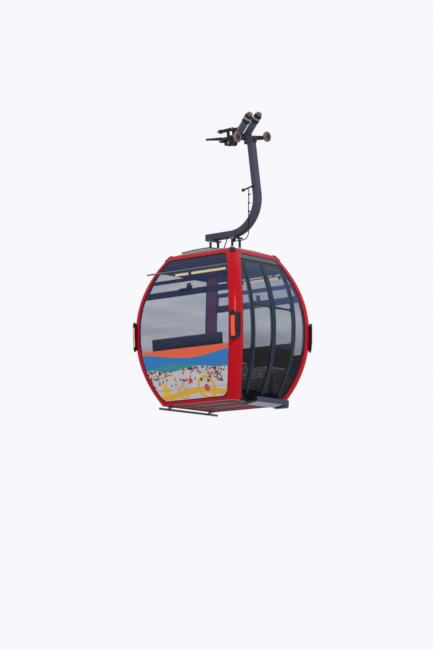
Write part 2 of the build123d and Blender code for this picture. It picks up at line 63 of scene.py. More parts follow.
class Wire:
    # one shader output, so that sums on it are written as plain Python
    def __init__(self, finish, socket):
        self.finish, self.socket = finish, socket

    def sum(self, operation, *values):
        return self.finish.add("ShaderNodeMath", {"operation": operation}, dict(enumerate(values)))

    def __add__(self, other):
        return self.sum("ADD", self, other)

    def __sub__(self, other):
        return self.sum("SUBTRACT", self, other)

    def __rsub__(self, other):
        return self.sum("SUBTRACT", other, self)

    def __mul__(self, other):
        return self.sum("MULTIPLY", self, other)

    def __gt__(self, other):
        return self.sum("GREATER_THAN", self, other)

    def __lt__(self, other):
        return self.sum("LESS_THAN", self, other)

    __radd__, __rmul__ = __add__, __mul__

    def apply(self, operation):
        return self.sum(operation, self)

    def clamp(self, low, high):
        # 0 below low, 1 above high, smooth between them
        return self.finish.add("ShaderNodeMapRange", {"interpolation_type": "SMOOTHSTEP"}, {
            "Value": self, "From Min": low, "From Max": high})

    def twin(self, output):
        # another output of the same node
        return Wire(self.finish, self.socket.node.outputs[output])


class Finish:
    # one material: its Principled shader and the nodes that vary it
    def __init__(self, name):
        self.material = bpy.data.materials.new(name)
        self.material.use_nodes = True
        self.tree = self.material.node_tree
        self.shader = self.tree.nodes["Principled BSDF"]
        self.place = self.add("ShaderNodeTexCoord", {}, {}, "Object")
        self.parts = {}

    def add(self, kind, settings, inputs, output=0):
        node = self.tree.nodes.new(kind)
        for key, value in settings.items():
            if key == "stops":
                ramp = node.color_ramp
                ramp.interpolation = "CONSTANT"
                for index, (spot, colour) in enumerate(value):
                    stop = ramp.elements[index] if index < 2 else ramp.elements.new(spot)
                    stop.position, stop.color = spot, (*colour, 1)
            else:
                setattr(node, key, value)
        for key, value in inputs.items():
            self.feed(node.inputs[key], value)
        return Wire(self, node.outputs[output])

    def feed(self, socket, value):
        if isinstance(value, Wire):
            self.tree.links.new(value.socket, socket)
        elif isinstance(value, tuple) and len(value) == 3 and socket.type == "RGBA":
            socket.default_value = (*value, 1)
        else:
            socket.default_value = value

    def set(self, **values):
        for key, value in values.items():
            self.feed(self.shader.inputs[key.replace("_", " ")], value)

    def noise(self, scale, detail, rough, stretch=(1, 1, 1)):
        where = self.place
        if stretch != (1, 1, 1):
            where = self.add("ShaderNodeMapping", {}, {"Vector": where, "Scale": stretch})
        return self.add("ShaderNodeTexNoise", {}, {
            "Vector": where, "Scale": scale, "Detail": detail, "Roughness": rough})

    def cells(self, scale, settings=None):
        return self.add("ShaderNodeTexVoronoi", settings or {}, {"Vector": self.place, "Scale": scale}, "Distance")

    def mix(self, amount, low, high):
        # the node's names repeat for each kind of value: 6, 7 and output 2 are the colours
        return self.add("ShaderNodeMix", {"data_type": "RGBA"}, {0: amount, 6: low, 7: high}, 2)

    def axis(self, letter):
        if letter not in self.parts:
            self.parts[letter] = self.add("ShaderNodeSeparateXYZ", {}, {0: self.place}, letter)
        return self.parts[letter]

    def bump(self, height, strength, distance):
        self.set(Normal=self.add("ShaderNodeBump", {}, {"Height": height, "Strength": strength, "Distance": distance}))


def shade(colour, factor):
    return tuple(min(1, value * factor) for value in colour)


noises = {
    # scale, detail, roughness
    "cloud": (1.7, 4, 0.6), "dust": (7, 6, 0.7), "orangePeel": (260, 2, 0.5), "grime": (9, 6, 0.65),
    "blotch": (3.2, 4, 0.6), "pebbleGrain": (420, 3, 0.6), "glow": (5, 2, 0.5), "reflectionStreak": (1.5, 3, 0.55),
    "paper": (3, 3, 0.5), "print": (40, 2, 0.5), "soil": (0.3, 3, 0.5),
}
plainDust = (0.08, 0.075, 0.07)
painted = {
    # colour, roughness, coat, colour of the dust, how much dust, gloss
    "redPaint": ((0.5, 0.0, 0.008), 0.28, 0.05, plainDust, 0.02, 0.13),
    "doorPaint": ((0.006, 0.01, 0.017), 0.25, 0.1, (0.03, 0.035, 0.04), 0.1, 0.2),
    "stripPaint": ((0.02, 0.045, 0.075), 0.3, 0.05, plainDust, 0.1, 0.2),
    "navyPanel": ((0.014, 0.026, 0.073), 0.25, 0.0, (0.03, 0.035, 0.05), 0.1, 0.13),
    "headerPanel": ((0.05, 0.08, 0.13), 0.2, 0.0, plainDust, 0.1, 0.3),
    "hangerPaint": ((0.05, 0.057, 0.088), 0.42, 0.0, (0.03, 0.03, 0.028), 0.5, 0.25),
    "roofPanel": ((0.2, 0.23, 0.25), 0.4, 0.0, plainDust, 0.5, 0.35),
    # the roof box's pale colour is a painted highlight along the roof above the red frame
    "boxPale": ((0.6, 0.57, 0.63), 0.4, 0.0, plainDust, 0.25, 0.3),
    "roofLid": ((0.018, 0.04, 0.045), 0.35, 0.0, plainDust, 0.3, 0.35),
    "linerPanel": ((0.06, 0.068, 0.08), 0.5, 0.0, plainDust, 0.1, 0.3),
    "springPaint": ((0.05, 0.085, 0.13), 0.35, 0.1, plainDust, 0.35, 0.4),
    "stepPaint": ((0.04, 0.052, 0.095), 0.35, 0.0, plainDust, 0.3, 0.2),
    "floorPlate": ((0.19, 0.05, 0.055), 0.5, 0.0, (0.03, 0.015, 0.015), 0.6, 0.12),
}
paintLook = {"clouds": (0.86, 1.12), "dustEdge": (0.5, 0.78), "dustRough": 0.18, "coatRough": 0.08,
             "peel": 0.12, "peelDepth": 0.0006}


def paintFinish(name, colour, rough, coat, dirt, amount, gloss):
    # sprayed paint: faint clouding, patches of dust and fine orange peel
    f = Finish(name)
    dark, light = (shade(colour, factor) for factor in paintLook["clouds"])
    cloud = f.noise(*noises["cloud"])
    dust = f.noise(*noises["dust"]).clamp(*paintLook["dustEdge"])
    f.set(Base_Color=f.mix(dust * amount, f.mix(cloud, dark, light), dirt),
          Roughness=rough + dust * paintLook["dustRough"], Coat_Weight=coat, Coat_Roughness=paintLook["coatRough"],
          Specular_IOR_Level=gloss)
    f.bump(f.noise(*noises["orangePeel"]), paintLook["peel"], paintLook["peelDepth"])
    return f.material


metals = {
    # colour, roughness, how metallic, scale and stretch of the grain, how much grime, gloss
    "carrierSteel": ((0.035, 0.026, 0.03), 0.5, 0.3, 140, (1, 1, 1), 0.35, 0.3),
    "castSteel": ((0.14, 0.08, 0.08), 0.5, 0.3, 140, (1, 1, 1), 0.35, 0.4),
    "darkSteel": ((0.014, 0.015, 0.018), 0.45, 0.3, 60, (1, 1, 1), 0.35, 0.4),
    "brightSteel": ((0.34, 0.35, 0.37), 0.3, 0.9, 60, (1, 1, 1), 0.35, 0.5),
    "dullSteel": ((0.15, 0.14, 0.155), 0.4, 0.6, 60, (1, 1, 1), 0.35, 0.4),
    "aluminium": ((0.15, 0.17, 0.2), 0.42, 0.6, 60, (0.04, 1, 1), 0.25, 0.5),
    "trayMetal": ((0.42, 0.4, 0.45), 0.45, 0.2, 60, (0.1, 1, 1), 0.3, 0.5),
}
metalLook = {"grain": (0.78, 1.18), "detail": 5, "fine": 0.65, "grimeEdge": (0.45, 0.75), "grimeShade": 0.3,
             "grainRough": 0.16, "grimeRough": 0.3, "relief": 0.15, "depth": 0.0008}


def metalFinish(name, colour, rough, metal, scale, stretch, amount, gloss):
    # bare or thinly coated metal, with a grain along one axis and darker grime
    f = Finish(name)
    dark, light = (shade(colour, factor) for factor in metalLook["grain"])
    grain = f.noise(scale, metalLook["detail"], metalLook["fine"], stretch)
    grime = f.noise(*noises["grime"]).clamp(*metalLook["grimeEdge"]) * amount
    f.set(Base_Color=f.mix(grime, f.mix(grain, dark, light), shade(colour, metalLook["grimeShade"])),
          Roughness=rough + grain * metalLook["grainRough"] + grime * metalLook["grimeRough"],
          Metallic=metal, Specular_IOR_Level=gloss)
    f.bump(grain, metalLook["relief"], metalLook["depth"])
    return f.material


moulded = {
    # colour, roughness, gloss
    "seal": ((0.005, 0.006, 0.008), 0.5, 0.2), "bumperRubber": ((0.009, 0.009, 0.018), 0.5, 0.2),
    "seatSlats": ((0.86, 0.86, 0.88), 0.45, 0.5), "seatBack": ((0.006, 0.007, 0.01), 0.5, 0.15),
    "rollerNylon": ((0.045, 0.055, 0.1), 0.4, 0.5), "wheelRubber": ((0.2, 0.125, 0.12), 0.6, 0.5),
    "collarPale": ((0.33, 0.25, 0.27), 0.5, 0.5),
}
mouldLook = {"clouds": (0.88, 1.12), "grainRough": 0.14, "relief": 0.35, "depth": 0.0008}


def mouldedFinish(name, colour, rough, gloss):
    # moulded plastic or rubber with a fine pebble grain
    f = Finish(name)
    dark, light = (shade(colour, factor) for factor in mouldLook["clouds"])
    grain = f.noise(*noises["pebbleGrain"])
    f.set(Base_Color=f.mix(f.noise(*noises["blotch"]), dark, light), Specular_IOR_Level=gloss,
          Roughness=rough + grain * mouldLook["grainRough"] - mouldLook["grainRough"] / 2)
    f.bump(grain, mouldLook["relief"], mouldLook["depth"])
    return f.material


glazed = {
    # colour and veil above the belt, lighter as painted sky reflection; colour and veil below it, darker as painted
    # shade; strength of the streaks of painted reflection
    "endGlass": ((0.045, 0.08, 0.19), 0.17, (0.025, 0.035, 0.08), 0.17, 0.09),
    "doorGlass": ((0.05, 0.09, 0.21), 0.22, (0.004, 0.005, 0.01), 0.35, 0.1),
}
# the streaks of painted reflection are lightened by a lift, and beltFade blends the painted sky reflection above the
# belt into the painted shade below it
glassLook = {"beltFade": (-3.4, -2.95), "facing": 0.15, "rim": 0.4, "streakStretch": (0.25, 0.25, 3.2),
             "streakEdge": (0.35, 0.75), "reflectionLift": 1.5, "rough": 0.04, "gloss": 0.3}


def glassFinish(name, upper, veilUpper, lower, veilLower, reflectionStreak):
    # tinted glass: clear face on, denser at a glancing angle, with faint level streaks of painted reflection; the
    # lighter colour above the belt is painted sky reflection and the darker colour below it is painted shade
    f = Finish(name)
    rim = f.add("ShaderNodeLayerWeight", {}, {"Blend": glassLook["facing"]}, "Facing")
    reflectionStreaks = f.noise(*noises["reflectionStreak"], glassLook["streakStretch"]).clamp(*glassLook["streakEdge"])
    height = f.axis("Z").clamp(*glassLook["beltFade"])
    veil = height * (veilUpper - veilLower) + veilLower
    # painted light: the colour runs from painted shade below the belt to painted sky reflection above it, with lighter
    # streaks of painted reflection
    f.set(Base_Color=f.mix(height, lower, f.mix(reflectionStreaks, upper, shade(upper, glassLook["reflectionLift"]))),
          Alpha=rim * glassLook["rim"] + reflectionStreaks * reflectionStreak + veil, Roughness=glassLook["rough"],
          Specular_IOR_Level=glassLook["gloss"])
    return f.material


ribbed = {
    # colour between the ribs, colour on them
    "lens": ((0.8, 0.035, 0.006), (0.95, 0.09, 0.012)), "amber": ((0.9, 0.5, 0.2), (1.0, 0.72, 0.42)),
}
ribLook = {"scale": 60.0, "coat": 0.3, "rough": 0.2}


def ribbedFinish(name, low, high):
    # clear ribbed plastic in front of a light
    f = Finish(name)
    ribs = f.add("ShaderNodeTexWave", {"bands_direction": "Z"}, {"Vector": f.place, "Scale": ribLook["scale"]})
    f.set(Base_Color=f.mix(ribs, low, high), Coat_Weight=ribLook["coat"], Roughness=ribLook["rough"])
    return f.material


lit = {"tube": (0.9, 0.7, 0.42), "low": (1, 0.68, 0.32), "high": (1, 0.8, 0.46), "strength": 0.8, "rough": 0.35}


def litFinish(name):
    # a frosted tube, lit warm and a little unevenly
    f = Finish(name)
    f.set(Base_Color=lit["tube"], Roughness=lit["rough"], Emission_Strength=lit["strength"],
          Emission_Color=f.mix(f.noise(*noises["glow"]), lit["low"], lit["high"]))
    return f.material


# the printed film's design: levels are metres above the cabin's underside
filmLook = {"paper": ((0.5, 0.48, 0.5), (0.66, 0.64, 0.66)), "rough": 0.35, "printRough": 0.1}
hill = {"wave": (4.4, 1.1, 0.035), "levels": (0.1, 0.18), "colour": (0.74, 0.43, 0.015)}
bubbles = [
    # y and level of the centre, inner and outer radius, colour
    (0.3, 0.2, 0.13, 0.175, (0.72, 0.4, 0.02)), (0.3, 0.2, 0.0, 0.05, (0.62, 0.03, 0.02)),
    (-0.18, 0.16, 0.07, 0.1, (0.72, 0.4, 0.02)), (-0.5, 0.22, 0.0, 0.085, (0.74, 0.5, 0.04)),
    (0.02, 0.32, 0.0, 0.04, (0.6, 0.04, 0.04)), (0.58, 0.33, 0.03, 0.055, (0.03, 0.1, 0.4)),
]
diamonds = {"scale": 15.0, "levels": (0.26, 0.54), "size": 0.55, "gone": 0.1}
confetti = [
    # share of the diamonds, colour
    (0.0, (0.03, 0.03, 0.05)), (0.35, (0.6, 0.04, 0.04)), (0.5, (0.75, 0.45, 0.03)), (0.62, (0.1, 0.3, 0.08)),
    (0.72, (0.03, 0.08, 0.3)), (0.84, (0.62, 0.14, 0.03)), (0.93, (0.7, 0.68, 0.68)),
]
pebbles = {"scale": 34.0, "wave": (5.2, 2.0, 0.05), "level": 0.42, "size": 0.5, "gone": 0.3, "blackTo": 0.7,
           "redTo": 0.85, "yellow": (0.6, 0.38, 0.03), "red": (0.3, 0.03, 0.03), "black": (0.015, 0.015, 0.03)}
bands = [
    # rate, shift and height of the lower edge's wave, level, colour
    (6.3, 0.4, 0.022, 0.5, (0.02, 0.24, 0.3)), (3.7, 2.6, 0.05, 0.545, (0.007, 0.18, 0.5)),
    (3.1, 4.4, 0.05, 0.7, (0.78, 0.11, 0.03)),
]
seam = {"level": 0.207, "half": 0.003, "colour": (0.25, 0.24, 0.25)}


def filmFinish(name):
    # printed film: bands with wavy edges over a pale field of rings, discs, diamonds and pebbles
    f = Finish(name)
    across, up = f.axis("Y") - cabin["y"], f.axis("Z") - cabin["underside"]

    def wave(rate, shift, height):
        return (across * rate + shift).apply("SINE") * height

    paper = f.mix(f.noise(*noises["paper"]), *filmLook["paper"])
    rise = up - wave(*hill["wave"])
    paper = f.mix((rise < hill["levels"][1]) * (rise > hill["levels"][0]), paper, hill["colour"])
    for y, level, inner, outer, colour in bubbles:
        aside, above = across - y, up - level
        gap = (aside * aside + above * above).apply("SQRT")
        paper = f.mix((gap < outer) * (gap > inner), paper, colour)
    cell = f.cells(diamonds["scale"], {"distance": "MANHATTAN"})
    hue = f.add("ShaderNodeSeparateColor", {}, {0: cell.twin("Color")})
    crowd = (up > diamonds["levels"][0]) * (up < diamonds["levels"][1])
    paper = f.mix(crowd * (cell < diamonds["size"]) * (hue > diamonds["gone"]), paper,
                  f.add("ShaderNodeValToRGB", {"stops": confetti}, {0: hue}))
    pebble = f.cells(pebbles["scale"])
    tone = f.add("ShaderNodeSeparateColor", {}, {0: pebble.twin("Color")})
    belt = (up > wave(*pebbles["wave"]) + pebbles["level"]) * (pebble < pebbles["size"]) * (tone > pebbles["gone"])
    warm = f.mix(tone > pebbles["redTo"], pebbles["red"], pebbles["yellow"])
    paper = f.mix(belt, paper, f.mix(tone > pebbles["blackTo"], pebbles["black"], warm))
    for rate, shift, height, level, colour in bands:
        paper = f.mix(up - wave(rate, shift, height) > level, paper, colour)
    paper = f.mix((up - seam["level"]).apply("ABSOLUTE") < seam["half"], paper, seam["colour"])
    f.set(Base_Color=paper, Roughness=f.noise(*noises["print"]) * filmLook["printRough"] + filmLook["rough"])
    return f.material


finishes = {"lamp": litFinish("lamp"), "film": filmFinish("film")}
for table, make in ((painted, paintFinish), (metals, metalFinish), (moulded, mouldedFinish), (glazed, glassFinish),
                    (ribbed, ribbedFinish)):
    for name, values in table.items():
        finishes[name] = make(name, *values)

dressing = {
    # CAD node, or the start of its name: finish
    "bottom_frame": "redPaint", "top_frame": "redPaint", "corner_posts": "redPaint", "window_seals": "seal",
    "window_headers": "navyPanel", "window_": "endGlass", "side_panes": "doorGlass", "door_glass": "doorGlass",
    "door_surround": "doorPaint", "door_leaf": "doorPaint", "door_header": "headerPanel", "door_step": "stepPaint",
    "door_sill": "seal", "vent_frames": "navyPanel", "vent_latches": "darkSteel", "roof": "roofPanel",
    "roof_cover": "darkSteel", "roof_box": "boxPale", "ceiling": "linerPanel", "ceiling_lamps": "lamp",
    "floor": "floorPlate", "bench_seats": "seatSlats", "bench_legs": "darkSteel", "backrests": "seatBack",
    "bumpers": "bumperRubber", "bumper_lenses": "lens", "corner_caps": "darkSteel", "guide_rail": "aluminium",
    "end_rails": "aluminium", "hanger_arm": "hangerPaint", "suspension_plates": "hangerPaint",
    "suspension_struts": "darkSteel", "cable_holders": "darkSteel", "control_cable": "seal",
    "grip_body": "castSteel", "jaw_pin": "brightSteel", "rope_tongues": "darkSteel", "wheel_carrier": "carrierSteel",
    "running_wheel": "wheelRubber", "spring_tubes": "springPaint", "spring_caps": "darkSteel",
    "spring_seat": "castSteel", "moving_jaw": "darkSteel", "release_lever": "darkSteel",
    "lever_roller": "rollerNylon",
}
for name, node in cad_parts.items():
    start = max((key for key in dressing if name.startswith(key)), key=len)
    node.data.materials.clear()
    node.data.materials.append(finishes[dressing[start]])
print("stage: finishes on the CAD nodes")


def reach(half, inset, level):
    # half the width of the bulging skin at a level, less an inset
    radius, away = cabin["upper"] - inset, max(level - cabin["beltTop"], 0)
    if level < cabin["belt"]:
        radius, away = cabin["lower"] - inset, cabin["belt"] - level
    return half - inset - radius + math.sqrt(radius ** 2 - away ** 2)


def onFace(side, across, level, out):
    # a point on a face: side is "+x", "-x", "+y" or "-y", out is how far it stands off the red frame's skin
    sign = 1 if side[0] == "+" else -1
    if side[1] == "x":
        return Vector((sign * reach(cabin["halfLength"], -out, level), across, level))
    return Vector((across, sign * reach(cabin["halfWidth"], -out, level), level))


def onCorner(xSign, ySign, turn, level, out):
    # a point on a rounded corner: turn runs from 0 on the end face to 90 on the side face
    radius, turn = cabin["corner"] + out, math.radians(turn)
    x = reach(cabin["halfLength"], 0, level) - cabin["corner"] + radius * math.cos(turn)
    y = reach(cabin["halfWidth"], 0, level) - cabin["corner"] + radius * math.sin(turn)
    return Vector((xSign * x, ySign * y, level))


def outward(xSign, ySign, turn):
    # the level direction that leads straight out of a rounded corner
    turn = math.radians(turn)
    return Vector((xSign * math.cos(turn), ySign * math.sin(turn), 0))


def sheet(bm, pointAt, low, high, thick, rows, columns):
    # a thin curved plate: pointAt gives a point from a share across and a level
    grid = bmesh.ops.create_grid(bm, x_segments=columns, y_segments=rows, size=1)
    for vert in grid["verts"]:
        vert.co = pointAt((vert.co.x + 1) / 2, low + (high - low) * (vert.co.y + 1) / 2)
    faces = list(dict.fromkeys(face for vert in grid["verts"] for face in vert.link_faces))
    bmesh.ops.recalc_face_normals(bm, faces=faces)
    bmesh.ops.solidify(bm, geom=faces, thickness=thick)


def patch(bm, side, edges, low, high, out, thick, rows, columns=1):
    # a thin plate on a face: edges gives its two sides at a level
    def pointAt(share, level):
        left, right = edges(level)
        return onFace(side, left + (right - left) * share, level, out)
    sheet(bm, pointAt, low, high, thick, rows, columns)


def slab(bm, low, high):
    low, high = Vector(low), Vector(high)
    bmesh.ops.create_cube(bm, size=1, matrix=Matrix.Translation((low + high) / 2) @ Matrix.Diagonal((*(high - low), 1)))


def drum(bm, start, end, radius, tip=None, sides=24):
    # a round bar or cone between two points
    start, end = Vector(start), Vector(end)
    stand = Matrix.Translation((start + end) / 2) @ (end - start).to_track_quat("Z", "X").to_matrix().to_4x4()
    bmesh.ops.create_cone(bm, cap_ends=True, segments=sides, radius1=radius, radius2=radius if tip is None else tip,
                          depth=(end - start).length, matrix=stand)


def turned(bm, profile, centre, axis, sides):
    # a turned piece: profile holds (distance along the axis, radius) pairs
    stand = Matrix.Translation(centre) @ Vector(axis).to_track_quat("Z", "X").to_matrix().to_4x4()
    verts = [bm.verts.new(stand @ Vector((radius, 0, along))) for along, radius in profile]
    edges = [bm.edges.new(pair) for pair in zip(verts, verts[1:])]
    bmesh.ops.spin(bm, geom=verts + edges, cent=centre, axis=Vector(axis), angle=math.tau, steps=sides, use_merge=True)
    bmesh.ops.remove_doubles(bm, verts=bm.verts, dist=1e-6)
    bmesh.ops.recalc_face_normals(bm, faces=bm.faces)


# a bolt's shapes as shares of its size
hexagon = {"radius": 0.95, "height": 0.9, "washer": 1.3, "washerSpan": (-0.2, 0.25)}


def bolt(bm, spot, axis, size):
    # a hexagon head on a washer
    spot, axis = Vector(spot), Vector(axis).normalized()
    low, high = (spot + axis * size * share for share in hexagon["washerSpan"])
    drum(bm, low, high, size * hexagon["washer"], sides=18)
    drum(bm, spot, spot + axis * size * hexagon["height"], size * hexagon["radius"], sides=6)


# an edge that turns by more than this is rounded off by soften, or stays sharp in smooth shading
sharpFrom = {"soften": math.radians(30), "shade": math.radians(35)}


def soften(bm, width):
    # a small round along every sharp edge
    sharp = [edge for edge in bm.edges if len(edge.link_faces) == 2 and edge.calc_face_angle(0) > sharpFrom["soften"]]
    bmesh.ops.bevel(bm, geom=sharp, offset=width, segments=2, profile=0.5, affect="EDGES", clamp_overlap=True,
                    material=-1)


def place(name, bm, finish, rides, turn=None):
    # makes a mesh a piece that rides on a body, smooth but for its sharp edges
    if turn:
        bm.transform(turn)
    for face in bm.faces:
        face.smooth = True
    for edge in bm.edges:
        edge.smooth = len(edge.link_faces) != 2 or edge.calc_face_angle(0) < sharpFrom["shade"]
    piece = bpy.data.objects.new(name, bpy.data.meshes.new(name))
    bm.to_mesh(piece.data)
    bm.free()
    piece.data.materials.append(finishes[finish])
    scene.collection.objects.link(piece)
    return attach(piece, rides)


# printed film over the lower part of the two end windows
film = {"low": 0.062, "high": 0.8, "corner": 0.08, "edge": 0.144, "out": -0.0092, "thick": 0.0006}
endFaces = {"+x": "front", "-x": "rear"}


def filmEdges(level):
    half = reach(cabin["halfWidth"] - film["edge"], 0, level)
    into = film["corner"] - (level - film["low"])
    if into > 0:
        half -= film["corner"] - math.sqrt(max(film["corner"] ** 2 - into ** 2, 0))
    return -half, half


for side, end in endFaces.items():
    bm = bmesh.new()
    patch(bm, side, filmEdges, film["low"], film["high"], film["out"], film["thick"], 40, 24)
    place("windowFilm_" + end, bm, "film", "cabin", toCabin)
print("stage: window film")

# door trim: a blue-grey strip along each stile between two dark beads
doors = {"half": 0.495, "sweep": 7.6, "widest": 1.4, "levels": (0.1, 2.09), "out": -0.0085, "thick": 0.003}
strips = [
    # inset of the outer edge, width, finish
    (0.0045, 0.0075, "seal"), (0.0125, 0.022, "stripPaint"), (0.036, 0.0075, "seal"),
]


def stile(inset, level):
    radius = doors["sweep"] - inset
    return doors["half"] - inset - radius + math.sqrt(radius ** 2 - (level - doors["widest"]) ** 2)


for finish in ("seal", "stripPaint"):
    bm = bmesh.new()
    for sign in (-1, 1):
        for inset, width, kind in strips:
            if kind == finish:
                for edges in (lambda level: (sign * stile(inset + width, level), sign * stile(inset, level)),
                              lambda level: (sign * inset, sign * (inset + width))):
                    patch(bm, "+y", edges, *doors["levels"], doors["out"], doors["thick"], 24)
    place("doorStrips_" + finish, bm, finish, "cabin", toCabin)
print("stage: door trim")

# dark lines where the corner posts meet the rings, rivets on either side, and a bead under each dark header
joints = {"levels": (0.21, 2.12), "gap": 0.005, "out": 0.0004, "thick": 0.0014}
rivet = {"turns": (15, 45, 75), "away": 0.026, "radii": (0.006, 0.003), "sunk": 0.001, "proud": 0.0025}
beads = {"ends": (2.046, 2.055), "inset": 0.15, "level": 2.05, "door": (2.127, 2.134), "doorHalf": 0.455,
         "out": -0.0085, "thick": 0.004}
bm, rivets = bmesh.new(), bmesh.new()
for xSign in (-1, 1):
    for ySign in (-1, 1):
        for level in joints["levels"]:
            sheet(bm, lambda share, z: onCorner(xSign, ySign, share * 90, z, joints["out"]),
                  level - joints["gap"] / 2, level + joints["gap"] / 2, joints["thick"], 1, 12)
            for turn in rivet["turns"]:
                for z in (level - rivet["away"], level + rivet["away"]):
                    spot, away = onCorner(xSign, ySign, turn, z, 0), outward(xSign, ySign, turn)
                    drum(rivets, spot - away * rivet["sunk"], spot + away * rivet["proud"], *rivet["radii"], 14)
for side in endFaces:
    half = reach(cabin["halfWidth"] - beads["inset"], 0, beads["level"])
    patch(bm, side, lambda level: (-half, half), *beads["ends"], beads["out"], beads["thick"], 1, 16)
patch(bm, "+y", lambda level: (-beads["doorHalf"], beads["doorHalf"]), *beads["door"], beads["out"], beads["thick"],
      1, 12)
place("frameJoints", bm, "seal", "cabin", toCabin)
place("frameRivets", rivets, "redPaint", "cabin", toCabin)
print("stage: frame joints")

# bumpers: two countersunk bolts each, and a warm clear strip beside each lens on the back corners
bumper = {"out": 0.048, "bolts": ((33, 0.845), (45, 1.238)), "sunk": 0.004, "washer": 0.0154, "washerProud": 0.0015,
          "bolt": 0.011, "proud": 0.004}
strip = {"lens": (0.888, 1.19), "inset": 0.012, "turn": 14, "width": 8, "proud": 0.0012, "thick": 0.003}
bolts, clear = bmesh.new(), bmesh.new()
for xSign in (-1, 1):
    for ySign in (-1, 1):
        for turn, level in bumper["bolts"]:
            spot, away = onCorner(xSign, ySign, turn, level, bumper["out"]), outward(xSign, ySign, turn)
            drum(bolts, spot - away * bumper["sunk"], spot + away * bumper["washerProud"], bumper["washer"], sides=20)
            drum(bolts, spot, spot + away * bumper["proud"], bumper["bolt"], sides=6)
        if ySign < 0:
            sheet(clear, lambda share, z: onCorner(xSign, ySign, strip["turn"] + share * strip["width"], z,
                                                   bumper["out"] + strip["proud"]),
                  strip["lens"][0] + strip["inset"], strip["lens"][1] - strip["inset"], strip["thick"], 10, 3)
place("bumperBolts", bolts, "darkSteel", "cabin", toCabin)
place("clearLenses", clear, "amber", "cabin", toCabin)
print("stage: bumpers")

# lamps along the top of each end window: a tray on three hooks, with lit tubes and their end caps
lamps = {"x": 0.615, "level": 1.974, "radius": 0.018, "runs": ((-0.415, -0.125), (-0.09, 0.62)), "cap": 0.012,
         "capRadius": 0.0195, "tray": 0.03, "trayLifts": (0.018, 0.03)}
hook = {"ys": (-0.42, 0.0, 0.5), "half": 0.012, "top": 2.05, "reach": 0.668}
tubes, bm, caps = bmesh.new(), bmesh.new(), bmesh.new()
for xSign in (-1, 1):
    x, level, half, top = xSign * lamps["x"], lamps["level"], hook["half"], hook["top"]
    trayLow, trayTop = (level + lift for lift in lamps["trayLifts"])
    slab(bm, (x - lamps["tray"], lamps["runs"][0][0] - lamps["tray"], trayLow),
         (x + lamps["tray"], lamps["runs"][1][1] + lamps["tray"], trayTop))
    near, far = sorted((x, xSign * hook["reach"]))
    for y in hook["ys"]:
        slab(bm, (x - half, y - half, trayTop), (x + half, y + half, top))
        slab(bm, (near, y - half, top - half), (far, y + half, top))
    for run in lamps["runs"]:
        drum(tubes, (x, run[0], level), (x, run[1], level), lamps["radius"], sides=28)
        for y in run:
            drum(caps, (x, y - lamps["cap"], level), (x, y + lamps["cap"], level), lamps["capRadius"])
soften(bm, 0.003)
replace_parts(place("lampTubes", tubes, "lamp", "cabin", toCabin), "ceiling_lamps")
place("lampTrays", bm, "linerPanel", "cabin", toCabin)
place("lampEnds", caps, "seal", "cabin", toCabin)

# vents: a deeper top bar over each sash, and the latch with its wide foot
vents = {"bar": (1.824, 1.884), "edge": 0.143, "out": -0.0085, "thick": 0.004}
latches = [
    # from and to across, levels, how far out, thickness, rows and columns
    ((-0.15, 0.07), (1.688, 1.716), 0.006, 0.014, 2, 4), ((-0.01, 0.06), (1.716, 1.79), 0.004, 0.012, 4, 2),
]


def ventEdges(level):
    half = reach(cabin["halfWidth"] - vents["edge"], 0, level)
    return -half, half


bm, latch = bmesh.new(), bmesh.new()
for side in endFaces:
    patch(bm, side, ventEdges, *vents["bar"], vents["out"], vents["thick"], 3, 16)
    for across, levels, *rest in latches:
        patch(latch, side, lambda level: across, *levels, *rest)
soften(latch, 0.003)
place("ventBars", bm, "navyPanel", "cabin", toCabin)
place("ventLatches", latch, "navyPanel", "cabin", toCabin)

# benches: a row of screws through the slats over each leg
bench = {"first": 0.267, "pitch": 0.05375, "slats": 8, "rows": (-0.52, 0, 0.52), "top": 0.575, "sunk": 0.002,
         "proud": 0.0015, "radii": (0.006, 0.0042)}
bm = bmesh.new()
for xSign in (-1, 1):
    for index in range(bench["slats"]):
        x = xSign * (bench["first"] + index * bench["pitch"])
        for y in bench["rows"]:
            drum(bm, (x, y, bench["top"] - bench["sunk"]), (x, y, bench["top"] + bench["proud"]), *bench["radii"], 12)
place("benchScrews", bm, "brightSteel", "cabin", toCabin)
print("stage: inside")

# underside: cross members and rails below the floor pan, with bolts where they meet
under = {"low": 0.001, "crossTop": 0.012, "railTop": 0.0115, "cross": (-0.4, 0.0, 0.4), "rails": (-0.42, 0.42),
         "half": 0.022, "inset": 0.045, "boltShift": 0.012, "bolt": 0.007}
bm, bolts = bmesh.new(), bmesh.new()
half, low = under["half"], under["low"]
halfWidth, halfLength = (reach(cabin[size], under["inset"], 0) for size in ("halfWidth", "halfLength"))
for x in under["cross"]:
    slab(bm, (x - half, -halfWidth, low), (x + half, halfWidth, under["crossTop"]))
for y in under["rails"]:
    slab(bm, (-halfLength, y - half, low), (halfLength, y + half, under["railTop"]))
    for x in under["cross"]:
        for shift in (-under["boltShift"], under["boltShift"]):
            bolt(bolts, (x + shift, y, low), (0, 0, -1), under["bolt"])
soften(bm, 0.003)
place("floorMembers", bm, "floorPlate", "cabin", toCabin)
place("floorBolts", bolts, "darkSteel", "cabin", toCabin)

# step: a pale tray under the tread, ribs on top and a black end block
tray = {"x": (-0.352, 0.262), "inner": (0.69, -0.0445), "outer": (0.893, -0.0135), "thick": 0.003}
tread = {"x": (-0.455, 0.25), "first": 0.888, "pitch": 0.019, "ribs": 7, "level": 0.062, "radius": 0.0045,
         "block": ((0.262, 0.74, 0.0), (0.276, 0.903, 0.066))}


def onTray(across, along):
    (x0, x1), (y0, z0), (y1, z1) = tray["x"], tray["inner"], tray["outer"]
    return Vector((x0 + (x1 - x0) * across, y0 + (y1 - y0) * along, z0 + (z1 - z0) * along))


